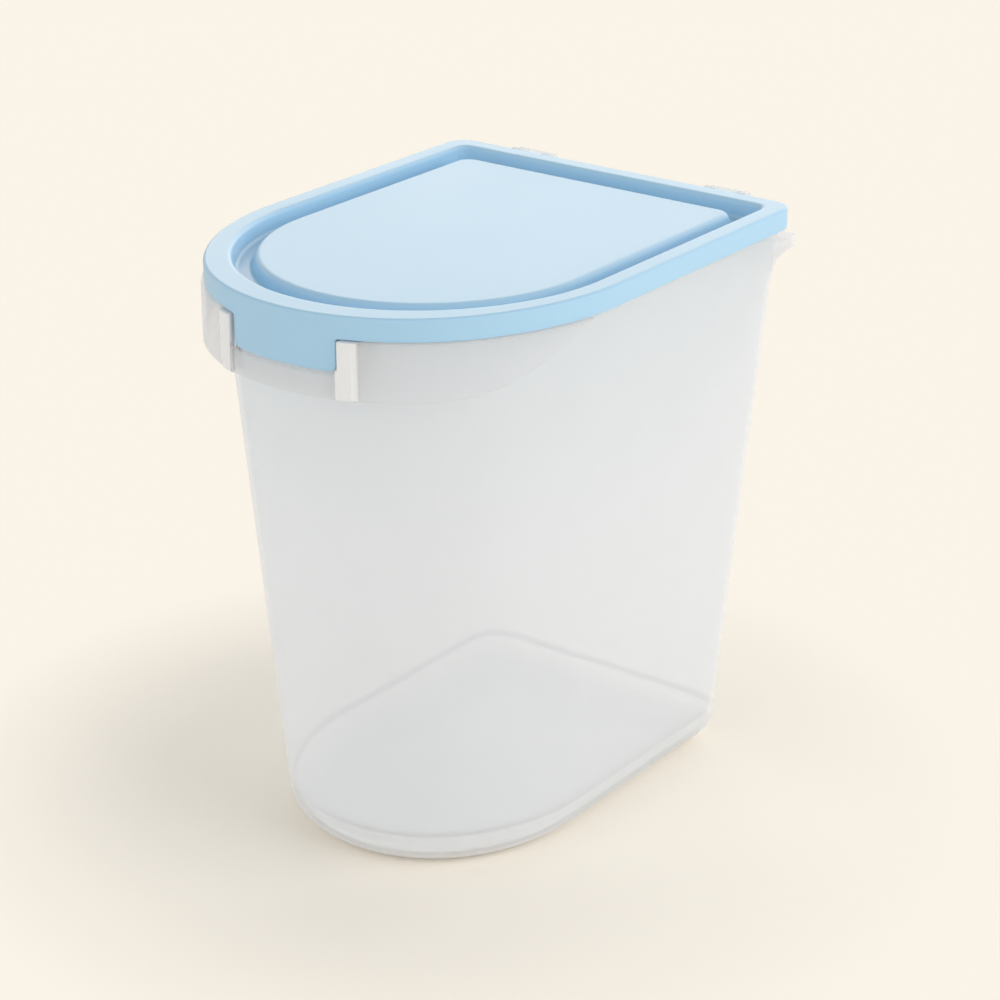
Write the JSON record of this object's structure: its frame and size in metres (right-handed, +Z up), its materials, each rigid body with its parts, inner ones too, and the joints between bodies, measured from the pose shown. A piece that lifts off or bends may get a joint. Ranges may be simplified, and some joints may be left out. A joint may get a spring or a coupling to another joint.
{
  "type": "pet food storage container",
  "caption": "Tapered D-shaped frosted plastic bin for dry pet food, with a sky-blue lid hinged at the flat back and held by a snap tab at the round front.",
  "frame": {"origin": "on the floor, at the centre of the bounding box", "axes": "+Z up, -Y towards the round front with the latch tab, X across"},
  "size_m": [0.2202, 0.2989, 0.312],
  "materials": {
    "frosted_plastic": "frosted, see-through natural polypropylene with a fine satin skin",
    "blue_plastic": "satin sky-blue moulded polypropylene",
    "seal_rubber": "soft milky silicone",
    "pin_plastic": "plain moulded plastic"
  },
  "bodies": {
    "tub": {"tub": "frosted_plastic", "hinge_pin_left": "pin_plastic", "hinge_pin_right": "pin_plastic"},
    "lid": {"lid": "blue_plastic", "lid_gasket": "seal_rubber"},
    "latch": {"latch_tab": "blue_plastic"}
  },
  "joints": [
    {"name": "lid_hinge", "type": "hinge", "parent": "tub", "child": "lid", "pos_m": [0, 0.14275, 0.3055], "axis": [-1, 0, 0], "range_deg": [0, 103]},
    {"name": "latch_flex", "type": "hinge", "parent": "lid", "child": "latch", "pos_m": [0, -0.14795, 0.3005], "axis": [-1, 0, 0], "range_deg": [0, 15], "stiffness_Nm_per_rad": 0.6}
  ]
}
